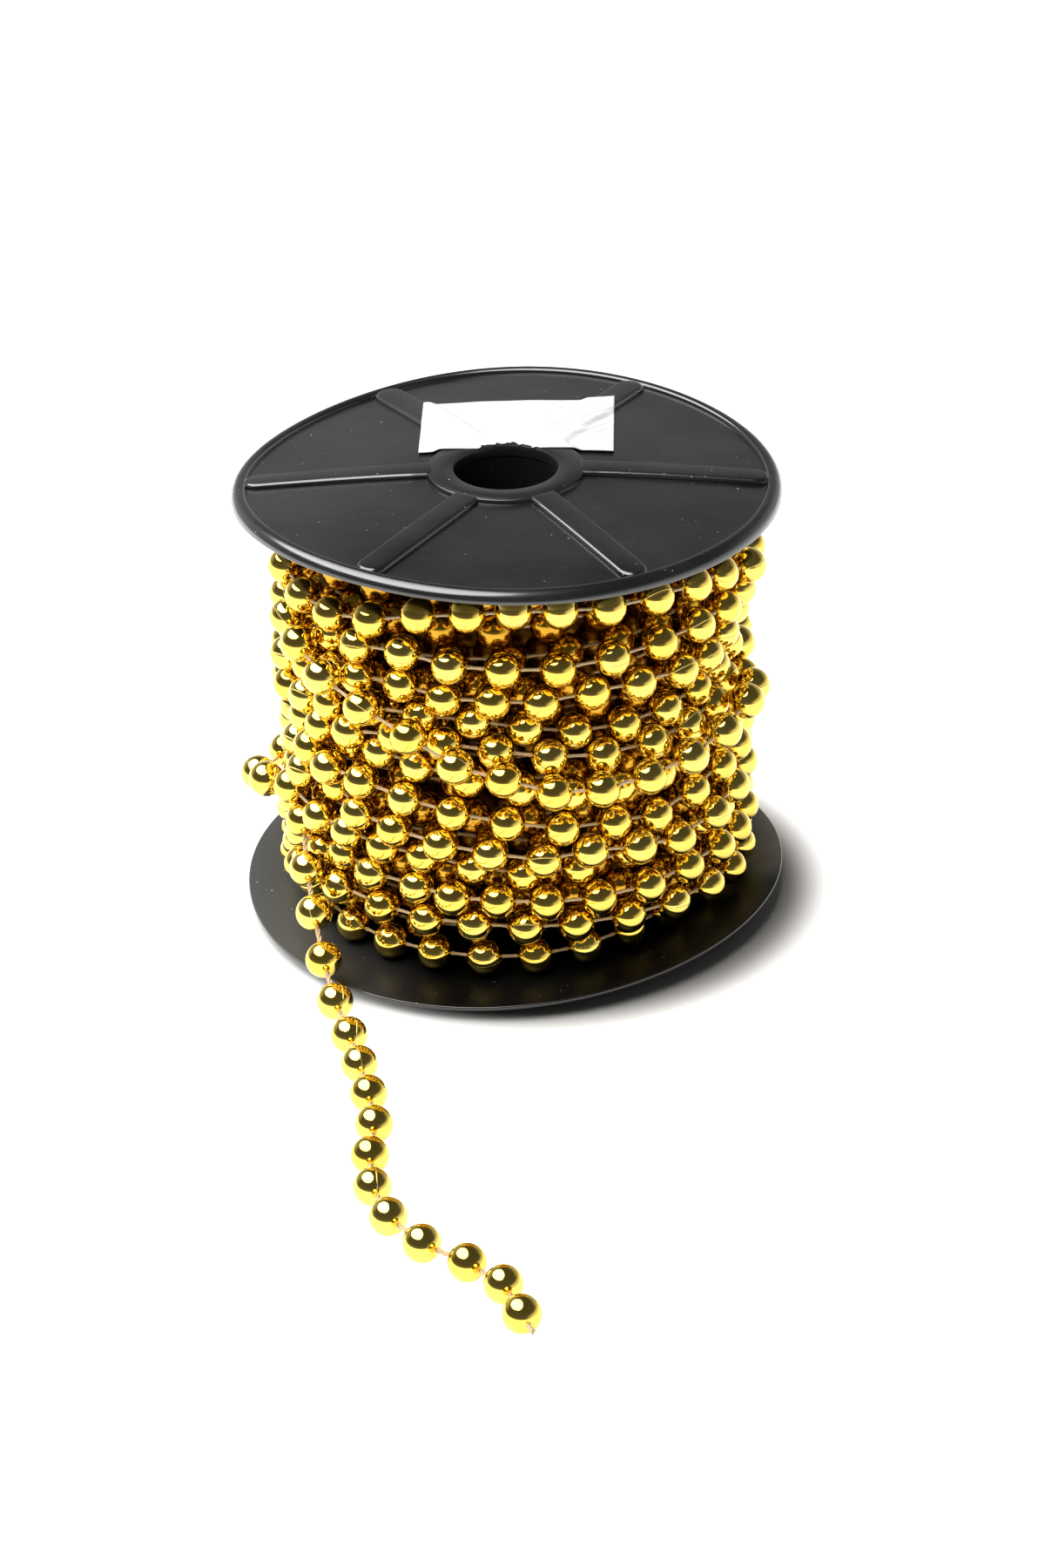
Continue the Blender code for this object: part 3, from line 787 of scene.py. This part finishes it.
ROWS_OVER = (
    row(35.4, (350, 64.6), (4, 64.2), (18, 63.8), (32, 63.4), (46, 63.0), (60, 62.6), (74, 62.2),
        (88, 61.8), (102, 61.4), (116, 61.0), (130, 60.6), (143, 60.2), (156, 59.8), (168, 59.6),
        (179.5, 59.4), (191, 58.8, 36.3), (202.7, 57.7, 38.0), (213.5, 56.8, 40.5), (223.6, 53.8, 41.3),
        (234.5, 50.8, 41.3), (246.7, 47.5, 41.3), (256.9, 43.5, 41.3), (267.6, 41.9, 41.3),
        (278.8, 38.7, 41.3), (289.8, 37.7, 41.3), (301.5, 37.8, 41.3), (313.7, 38.4, 41.3),
        (325, 39.8, 41.3), (336, 41.4, 41.0), (347, 40.6, 39.4), (359, 40.2, 37.2), (372, 39.8, 36.6)),
    row(35.2, (143, 25.4, 35.2), (156, 23.8, 35.4), (168.5, 20.9, 38.4), (178.5, 21.0, 42.9),
        (189.5, 23.8, 41.3), (200, 24.7, 38.5), (213.1, 23.7, 37.2), (223.5, 22.9, 36.8), (233, 22.6, 36.4),
        (246.3, 22.8, 36.0), (259, 21.0), (272, 20.4), (286, 20.9), (301, 21.7), (315, 21.4), (328, 21.0),
        (341, 20.4)),
    row(37.7, (195, 13.6, 36.4), (207, 16.2, 36.2), (219, 18.0, 35.6), (231.5, 18.6, 36.6),
        (245, 18.2, 36.4), (255.5, 18.5), (265, 17.4), (277, 16.6), (290, 15.7), (304, 15.5), (317, 16.0),
        (331, 15.9), (344, 14.6)),
    row(36.6, (194, 9.6, 35.8), (206.5, 11.8, 36.4), (219.5, 14.1, 36.9), (233, 13.0), (246, 12.5),
        (259, 12.2), (272, 11.9), (285, 11.6), (299, 10.4), (314, 9.3), (329, 8.7), (342, 7.8)),
    row(35.2, (207, 5.0), (220.3, 5.0), (233.8, 5.0), (247, 5.0), (260.7, 5.0), (274.3, 5.2),
        (288, 5.6, 34.6), (302, 6.0, 34.2), (316, 6.4, 34.0), (331, 6.8, 34.0), (346, 6.6, 34.0)),
)
bead_count = sum(len(beads) for beads in ROWS_DOWN + ROWS_OVER)
print("rows:", len(ROWS_DOWN) + len(ROWS_OVER), "beads listed in them:", bead_count)

# %% [markdown]
# ## Where the loose end lies
# Its beads are a short list of places that follow the picture. Near the winding they lie a few millimetres
# further out and lower than the plain solid does.

# %% The loose end's own route
ROUTE = (
    (-34.9, -15.2, 20.7), (-34.35, -22.4, 15.4), (-33.2, -30.2, 11.5), (-31.6, -38.05, 7.25),
    (-29.7, -46.25, 4.2), (-27.3, -54.9, 3.05), (-25.5, -63.75, 3.05), (-23.9, -72.65, 3.05),
    (-22.9, -81.6, 3.05), (-23.4, -90.4, 3.05), (-22.9, -99.2, 3.05), (-20.4, -107.5, 3.05),
    (-15.3, -114.9, 3.05), (-8.6, -120.3, 3.05), (-3.3, -126.2, 3.05), (-0.7, -133.9, 3.05),
)


# %% [markdown]
# ## The far side and the layers underneath
# The back doesn't show, but the string has to get from the end of each front row to the start of the next.
# Evenly spaced beads do that, and wander a little in height. Two plain helixes lie underneath.

# %% Fill the back of each row
BACK_WANDER = 0.9
LOOSE_START = (203.4, 20.7, 37.6)
TAIL_TURNS = np.arange(1, 9) * 14.0 + 346.0


def around(angle, height, radius):
    """Places at angles round the axis, in degrees."""
    turn = np.radians(angle)
    return np.stack([radius * np.cos(turn), radius * np.sin(turn), height + 0.0 * turn], axis=-1)


def behind(last, first, radius):
    """Beads between the end of one row and the start of the next, on the far side."""
    span = first[0] + 360.0 - last[0]
    length = math.hypot(math.radians(span) * radius, first[1] - last[1])
    count = max(1, round(length / PITCH) - 1)
    share = (np.arange(count) + 1.0) / (count + 1.0)
    angle = last[0] + span * share
    fade = np.sin(math.pi * share)
    height = last[1] + (first[1] - last[1]) * share + BACK_WANDER * fade * np.sin(angle / 33.0 + last[1])
    out = last[2] + (first[2] - last[2]) * share + (radius - (last[2] + first[2]) / 2.0) * fade
    return around(angle, height, out)


def strand(rows, radius, ending):
    """Beads of several rows and an ending in one chain, and which of them are listed."""
    places, listed = [], []
    for i, beads in enumerate(rows):
        back = behind(beads[-1], rows[i + 1][0], radius) if i + 1 < len(rows) else ending
        places += [around(*np.array(beads, float).T), back]
        listed += [True] * len(beads) + [False] * len(back)
    return np.vstack(places), listed


to_loose = behind(ROWS_DOWN[-1][-1], LOOSE_START, radius=36.2)
down, down_listed = strand(ROWS_DOWN, radius=37.2, ending=to_loose)
over, over_listed = strand(ROWS_OVER, radius=38.2, ending=around(TAIL_TURNS, height=6.4, radius=33.8))
print("beads in the outer strands:", len(down), len(over))

# %% Wind the layers underneath
def inner_layer(radius, rows, low, high, start):
    """A plain helix of beads between the flanges."""
    length = rows * 2.0 * math.pi * radius
    count = int(length / PITCH)
    turn = np.arange(count) / count * rows
    wander = 0.8 * np.sin(turn * 1.7 + start) + 0.5 * np.sin(turn * 2.0 * math.pi + start)
    height = low + (high - low) * turn / rows + wander * np.sin(math.pi * turn / rows)
    return around(start * 57.0 + 360.0 * turn, height, radius + 0.3 * np.sin(turn * 5.0 + start))


second = inner_layer(radius=32.2, rows=12, low=5.2, high=70.8, start=1.0)
third = inner_layer(radius=27.4, rows=12, low=5.2, high=71.0, start=2.3)
print("beads in the layers underneath:", len(second), len(third))

# %% [markdown]
# ## Let the beads settle
# Rows placed bead by bead run into each other. A few hundred small corrections cure that: two beads that
# overlap push each other apart, neighbours on the thread keep their distance, no bead enters a flange and
# every bead is drawn gently back to where it was put. This is how a wound string finds its place too.

# %% Small corrections
TOUCHING = BEAD + 0.03
NEAR_BY = BEAD + 2.5
LEAST_PITCH = 7.3
MOST_PITCH = 9.1
CLEARANCE = 0.05
NO_LIMIT = 999.0


def distances(place):
    """From each bead to every other one."""
    return np.linalg.norm(place[:, None, :] - place[None, :, :], axis=-1)


def correct(place, free, pairs, least, most):
    """Move the two beads of each pair until their distance is between least and most."""
    a, b = pairs[:, 0], pairs[:, 1]
    apart = place[b] - place[a]
    far = np.maximum(np.linalg.norm(apart, axis=1), 0.01)
    wrong = np.where(far < least, least - far, np.where(far > most, most - far, 0.0))
    share = free[a] + free[b] + 1e-9
    move = apart / far[:, None] * wrong[:, None] * 0.9
    np.add.at(place, a, -move * (free[a] / share)[:, None])
    np.add.at(place, b, move * (free[b] / share)[:, None])


def keep_between_plates(place, free):
    """Lift or lower the beads that would enter a flange."""
    x, y = place[:, 0], place[:, 1]
    floor = FLANGE_THICKNESS + BEAD / 2.0 + CLEARANCE + bottom_warp(x, y)
    roof = SPOOL_HEIGHT - FLANGE_THICKNESS - BEAD / 2.0 - CLEARANCE + top_warp(x, y)
    inside = (np.hypot(x, y) < FLANGE_RADIUS + 1.0) & (free > 0.0)
    place[:, 2] = np.where(inside, np.clip(place[:, 2], floor, roof), place[:, 2])


# %% Settle all the layers together
PULL = {"listed": 0.06, "behind": 0.02, "underneath": 0.015}
FREEDOM = {"listed": 0.45, "behind": 1.0, "underneath": 1.0}


def settle(chains, weights, freedom, steps=200):
    """Move the beads until none overlap; chains are lists of places in thread order."""
    home = np.vstack(chains)
    pull = np.concatenate(weights)
    free = np.concatenate(freedom)
    place = home.copy()
    starts = np.cumsum([len(chain) for chain in chains])[:-1]
    links = np.array([(i - 1, i) for i in range(1, len(home)) if i not in starts])
    for step in range(steps):
        if step % 8 == 0:
            close = np.argwhere(np.triu(distances(place) < NEAR_BY, 1))
        place += (home - place) * pull[:, None] * free[:, None]
        correct(place, free, close, TOUCHING, NO_LIMIT)
        correct(place, free, links, LEAST_PITCH, MOST_PITCH)
        keep_between_plates(place, free)
    gaps = distances(place)
    np.fill_diagonal(gaps, NO_LIMIT)
    moved = np.linalg.norm(place - home, axis=1).max()
    print("closest two beads, in mm:", round(float(gaps.min()), 2), "moved at most:", round(float(moved), 1))
    return np.split(place, starts)


def for_each_bead(amounts):
    """One amount for every bead; listed ones are held firmly, and the loose end doesn't move."""
    outer = [np.where(listed, amounts["listed"], amounts["behind"]) for listed in (down_listed, over_listed)]
    under = [np.full(len(layer), amounts["underneath"]) for layer in (second, third)]
    return outer + under + [np.zeros(len(loose))]


loose = np.array(ROUTE, float)
layers = [down, over, second, third, loose]
down, over, second, third, loose = settle(layers, for_each_bead(PULL), for_each_bead(FREEDOM))

# %% [markdown]
# ## Beads
# One bead is a ball with its two poles on the thread. Copying its points to every place, turned so that
# the poles face the neighbours, and joining them into one mesh keeps hundreds of beads in a single light
# object. Beads that nobody sees closely get fewer faces.

# %% One bead
DETAIL = {"outer": (26, 15), "second": (22, 13), "third": (16, 10), "loose": (40, 22)}


def ball(around_count, along_count):
    """A unit ball with its poles on the X axis: points and faces."""
    points = [(1.0, 0.0, 0.0)]
    for i in range(1, along_count):
        t = math.pi * i / along_count
        for k in range(around_count):
            a = 2.0 * math.pi * k / around_count
            points.append((math.cos(t), math.sin(t) * math.cos(a), math.sin(t) * math.sin(a)))
    points.append((-1.0, 0.0, 0.0))
    faces = []
    for k in range(around_count):
        n = (k + 1) % around_count
        faces.append((0, 1 + k, 1 + n))
        for i in range(along_count - 2):
            a = 1 + i * around_count
            faces.append((a + k, a + around_count + k, a + around_count + n, a + n))
        a = 1 + (along_count - 2) * around_count
        faces.append((a + k, len(points) - 1, a + n))
    return np.array(points), faces


print("faces of an outer bead:", len(ball(*DETAIL["outer"])[1]))

# %% Many beads
BEAD_SPREAD = (-0.012, 0.006)
chance = np.random.default_rng(6)


def directions(places):
    """Unit directions of the thread at each bead."""
    following = np.vstack([places[1:], places[-1:]])
    before = np.vstack([places[:1], places[:-1]])
    way = following - before
    return way / np.linalg.norm(way, axis=1)[:, None]


def turned_frames(ways, spins):
    """Rotation matrices whose first axis is the given direction."""
    frames = []
    for way, spin in zip(ways, spins):
        x = Vector(way)
        side = x.cross(Vector((0.0, 0.0, 1.0)))
        side = side.normalized() if side.length > 0.05 else Vector((0.0, 1.0, 0.0))
        up = x.cross(side)
        y = side * math.cos(spin) + up * math.sin(spin)
        frames.append(np.array((x, y, x.cross(y))).T)
    return np.array(frames)


def string_beads(name, places, detail, finish=gold):
    """All beads of a chain as one mesh, with each bead's own coordinates and tone."""
    shape, faces = ball(*detail)
    spins = chance.uniform(0.0, math.pi, len(places))
    frames = turned_frames(directions(places), spins)
    sizes = BEAD / 2.0 * (1.0 + chance.uniform(*BEAD_SPREAD, (len(places), 3)))
    local = shape[None, :, :] * sizes[:, None, :]
    points = np.einsum("nij,nkj->nki", frames, local) + places[:, None, :]
    count = len(shape)
    every = [tuple(i * count + c for c in face) for i in range(len(places)) for face in faces]
    item = mesh_object(name, points.reshape(-1, 3), every)
    spot = item.data.attributes.new("own_place", "FLOAT_VECTOR", "POINT")
    spot.data.foreach_set("vector", np.tile(shape, (len(places), 1)).astype(np.float32).ravel())
    tones = np.repeat(chance.uniform(0.0, 1.0, len(places)), count).astype(np.float32)
    item.data.attributes.new("tone", "FLOAT", "POINT").data.foreach_set("value", tones)
    item.data.materials.append(finish.material)
    return item


print("beads drawn with seed 6")

# %% [markdown]
# ## Thread between the beads
# Only a short length of thread shows from each bead to the next. In the winding a plain tube does. The
# loose end shows its thread closely, and there each link is three thin plies that twist round each other.

# %% Links of thread
INTO_BEAD = 0.3
TWIST = 0.9


def between_beads(places):
    """The start of each link, the pitch to the next bead and the turn towards it."""
    ways = places[1:] - places[:-1]
    pitches = np.linalg.norm(ways, axis=1)
    return zip(places, pitches, turned_frames(ways / pitches[:, None], np.zeros(len(ways))))


def ring(along, radius, sides, out=0.0, twist=0.0):
    """Points round a spot that lies out from the line between two beads."""
    turns = np.arange(sides) * 2.0 * math.pi / sides
    aside = out * math.cos(twist) + radius * np.cos(turns)
    upward = out * math.sin(twist) + radius * np.sin(turns)
    return np.stack([along + 0.0 * turns, aside, upward], axis=1)


def tube_faces(first, rings, sides):
    """Faces of a closed tube; first is the index of its first point."""
    end = first + (rings - 1) * sides
    caps = [tuple(reversed(range(first, first + sides))), tuple(range(end, end + sides))]
    return wall_faces(rings, sides, first) + caps


# %% Plain and twisted links
LINK_WIDTHS = (1.7, 1.1, 0.94, 1.1, 1.7)


def thread_links(name, places, sides=8):
    """Short tubes between neighbours, a little wider where they enter a bead."""
    points, faces = [], []
    for start, pitch, turned_frame in between_beads(places):
        bare = pitch - BEAD
        steps = (-INTO_BEAD, INTO_BEAD, bare / 2.0, bare - INTO_BEAD, bare + INTO_BEAD)
        faces += tube_faces(len(points), len(steps), sides)
        for along, wide in zip(steps, LINK_WIDTHS):
            spots = ring(BEAD / 2.0 + along, THREAD / 2.0 * wide, sides)
            points.extend(start + spots @ turned_frame.T)
    item = mesh_object(name, points, faces)
    item.data.materials.append(thread.material)
    return item


def twisted_links(name, places, plies=3, sides=7, rings=9):
    """Links of twisted plies, as the loose end shows them."""
    points, faces = [], []
    for start, pitch, turned_frame in between_beads(places):
        for ply in range(plies):
            faces += tube_faces(len(points), rings, sides)
            for share in np.linspace(0.0, 1.0, rings):
                along = BEAD / 2.0 - INTO_BEAD + (pitch - BEAD + 2.0 * INTO_BEAD) * share
                out = PLY * (0.58 + 0.22 * abs(2.0 * share - 1.0) ** 3)
                spots = ring(along, PLY / 2.0, sides, out, 2.0 * math.pi * (ply / plies + TWIST * share))
                points.extend(start + spots @ turned_frame.T)
    item = mesh_object(name, points, faces)
    item.data.materials.append(thread.material)
    return item


print("thread and plies, in mm:", THREAD, PLY)

# %% Put the outer strands on
outer_beads = string_beads("outer_beads", down, DETAIL["outer"])
top_beads = string_beads("top_strand_beads", over, DETAIL["outer"])
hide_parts("bead_winding")
outer_thread = thread_links("outer_thread", np.vstack([down, loose[:1]]))
top_thread = thread_links("top_strand_thread", over)
pieces = [outer_beads, top_beads, outer_thread, top_thread]
print("faces in the outer strands:", sum(len(piece.data.polygons) for piece in pieces))

# %% Put the layers underneath on
pieces.append(string_beads("second_layer_beads", second, DETAIL["second"], deep_gold))
pieces.append(string_beads("third_layer_beads", third, DETAIL["third"], heart_gold))
pieces.append(thread_links("second_layer_thread", second, 6))
pieces.append(thread_links("third_layer_thread", third, 5))
for piece in pieces:
    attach(piece, "root")
print("pieces of the winding:", len(pieces))

# %% [markdown]
# ## The heart of the winding
# Nothing shows inside the third layer but a dark amber shimmer. A turned sleeve with a bead-sized ripple
# fills that room, which saves two hundred beads and stops light from passing through the winding.

# %% Fill the heart
HEART_INSIDE = CORE_RADIUS + 0.4
HEART_RADIUS = 24.6
HEART_ROWS = 11
HEART_GAP = 0.6
RIPPLE = 1.6


def bead_ripple(share, turn):
    """0 between two beads of the sleeve, 1 on the middle of one."""
    over_row = np.abs(np.sin(math.pi * share * HEART_ROWS))
    along_row = np.abs(np.sin(8.0 * turn + 2.0 * np.floor(share * HEART_ROWS)))
    return over_row * (0.45 + 0.55 * along_row)


def heart_sleeve(steps=160, cuts=5):
    low, high = FLANGE_THICKNESS + HEART_GAP, SPOOL_HEIGHT - FLANGE_THICKNESS - HEART_GAP
    shares = np.linspace(0.0, 1.0, HEART_ROWS * cuts + 1)
    outline = [(HEART_INSIDE, 0.0)] + [(HEART_RADIUS, s) for s in shares] + [(HEART_INSIDE, 1.0)]
    points, faces = turned_rings(outline, steps)
    x, y, share = points.T
    outside = np.hypot(x, y) > (HEART_INSIDE + HEART_RADIUS) / 2.0
    grow = np.where(outside, 1.0 + RIPPLE * bead_ripple(share, np.arctan2(y, x)) / HEART_RADIUS, 1.0)
    x, y = x * grow, y * grow
    floor, roof = low + bottom_warp(x, y), high + top_warp(x, y)
    return np.stack([x, y, floor + (roof - floor) * share], axis=1), faces


heart = mesh_object("inner_turns", *heart_sleeve())
# The sleeve takes the darkest gold, painted shade for the heart of the winding.
heart.data.materials.append(heart_gold.material)
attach(heart, "root")
print("sleeve faces:", len(heart.data.polygons))

# %% [markdown]
# ## The loose end
# One stretch of the string leaves the winding low on the left, hangs over the edge of the bottom flange
# and lies on the table. It is a free cord. Its beads and its thread are one mesh, as they are one string,
# and the cut thread sticks out of the last one.

# %% Lay the loose end
CUT_THREAD = 1.6
loose_beads = string_beads("loose_end_beads", loose, DETAIL["loose"])
loose_thread = twisted_links("loose_end_thread", loose)
way_out = loose[-1] - loose[-2]
way_out = way_out / np.linalg.norm(way_out)
stub = twisted_links("stub", np.array([loose[-1], loose[-1] + way_out * (BEAD + CUT_THREAD)]))
loose_beads.data.materials.append(thread.material)


def add_thread(shape):
    bead_faces = len(shape.faces)
    shape.from_mesh(loose_thread.data)
    shape.from_mesh(stub.data)
    for index, face in enumerate(shape.faces):
        face.material_index = 0 if index < bead_faces else 1
        face.smooth = True


reshape(loose_beads.data, add_thread)
for spare in (loose_thread, stub):
    bpy.data.objects.remove(spare)
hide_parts("loose_end")
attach(loose_beads, "root")
print("loose beads:", len(loose))
